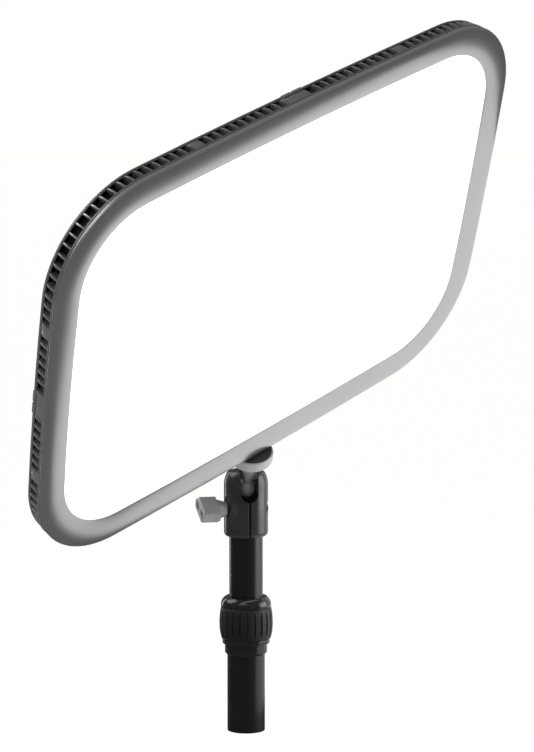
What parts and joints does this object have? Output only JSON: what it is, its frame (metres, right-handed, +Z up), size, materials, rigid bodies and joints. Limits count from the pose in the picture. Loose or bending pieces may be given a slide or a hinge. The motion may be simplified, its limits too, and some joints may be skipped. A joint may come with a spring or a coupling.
{
  "type": "led panel light",
  "caption": "Wide round-cornered LED panel light with a ribbed vented edge, on a notched ball head with wing knob and a twist-lock telescopic mast section.",
  "frame": {"origin": "centre of the lower mast tube's bottom end", "axes": "+Z up along the mast, -Y towards the side that the ball stud leans to and the housing's notch opens to, +X away from the wing knob"},
  "size_m": [0.2903, 0.2771, 0.4208],
  "materials": {
    "mast_black": "gloss black powder coat on aluminium tube",
    "black_plastic": "fine satin moulding",
    "gloss_black_plastic": "polished moulding",
    "natural_acetal": "machined acetal",
    "grip_rubber": "matte fluted rubber",
    "head_black": "gloss black cast aluminium",
    "dark_steel": "black oxide",
    "bright_steel": "zinc plated",
    "knob_grey": "fine grained nylon",
    "stud_metal": "satin black anodised",
    "disc_metal": "satin black anodised",
    "pad_rubber": "matte",
    "bezel_grey": "fine satin moulding",
    "opal_diffuser": "opal acrylic, lit from behind",
    "clear_film": "prismatic film",
    "clear_acrylic": "polished acrylic",
    "white_sheet": "diffuse white film",
    "bare_aluminium": "mill finish",
    "strip_board": "white solder mask",
    "led_phosphor": "phosphor coated",
    "vent_black": "semi-gloss moulding",
    "insert_brass": "machined brass",
    "rear_grey": "satin textured paint",
    "cover_black": "fine grained moulding",
    "circuit_board": "solder mask",
    "component_black": "moulded epoxy",
    "harness_white": "flat cable",
    "rocker_black": "polished moulding"
  },
  "bodies": {
    "root": {"lower_tube": "mast_black", "end_plug": "black_plastic", "lock_base": "gloss_black_plastic", "collet": "natural_acetal"},
    "collar": {"lock_sleeve": "gloss_black_plastic", "grip_sleeve": "grip_rubber", "collar_cap": "gloss_black_plastic"},
    "slider": {"guide_bush": "natural_acetal"},
    "mast": {"upper_tube": "mast_black", "ball_housing": "head_black", "ball_liner": "black_plastic", "clamp_nut": "dark_steel", "clamp_washer": "dark_steel"},
    "clamp": {"wing_knob": "knob_grey", "clamp_bolt": "dark_steel"},
    "stud": {"ball_stud": "stud_metal"},
    "disc": {"lock_disc": "disc_metal", "disc_pad": "pad_rubber"},
    "panel": {"front_bezel": "bezel_grey", "front_diffuser": "opal_diffuser", "prism_film": "clear_film", "light_guide": "clear_acrylic", "reflector_sheet": "white_sheet", "heat_plate": "bare_aluminium", "led_strips": "strip_board", "led_chips": "led_phosphor", "vent_frame": "vent_black", "edge_screws": "bright_steel", "mount_block": "black_plastic", "threaded_insert": "insert_brass", "rear_shell": "rear_grey", "rear_screws": "dark_steel", "electronics_cover": "cover_black", "cover_screws": "dark_steel", "driver_board": "circuit_board", "board_standoffs": "insert_brass", "board_screws": "bright_steel", "board_components": "component_black", "wireless_module": "bright_steel", "led_harness": "harness_white", "dc_inlet": "black_plastic", "inlet_pin": "bright_steel", "switch_frame": "black_plastic"},
    "rocker": {"power_rocker": "rocker_black"},
    "button": {"reset_button": "rocker_black"}
  },
  "joints": [
    {"name": "collar_twist", "type": "hinge", "parent": "root", "child": "collar", "pos_m": [0, 0, 0.064], "axis": [0, 0, 1], "range_deg": [0, 90]},
    {"name": "mast_slide", "type": "slide", "parent": "root", "child": "slider", "axis": [0, 0, 1], "range_m": [-0.036, 0.0115]},
    {"name": "mast_turn", "type": "hinge", "parent": "slider", "child": "mast", "pos_m": [0, 0, 0.1], "axis": [0, 0, 1], "continuous": true},
    {"name": "clamp_turn", "type": "hinge", "parent": "mast", "child": "clamp", "pos_m": [0, -0.003, 0.1345], "axis": [1, 0, 0], "range_deg": [0, 270]},
    {"name": "ball_tilt", "type": "hinge", "parent": "mast", "child": "stud", "pos_m": [0, 0, 0.1466], "axis": [1, 0, 0], "range_deg": [-49, 56]},
    {"name": "disc_turn", "type": "hinge", "parent": "stud", "child": "disc", "pos_m": [0, 0, 0.1466], "axis": [0, -0.5592, 0.829], "range_deg": [0, 180]},
    {"name": "panel_turn", "type": "hinge", "parent": "stud", "child": "panel", "pos_m": [0, 0, 0.1466], "axis": [0, -0.5592, 0.829], "continuous": true},
    {"name": "rocker_tilt", "type": "hinge", "parent": "panel", "child": "rocker", "pos_m": [0.03607, -0.02973, 0.27865], "axis": [0.8121, 0.4838, 0.3263], "range_deg": [-10, 0]},
    {"name": "button_press", "type": "slide", "parent": "panel", "child": "button", "axis": [0.5835, -0.6732, -0.4541], "range_m": [0, 0.001], "stiffness_N_per_m": 60}
  ]
}
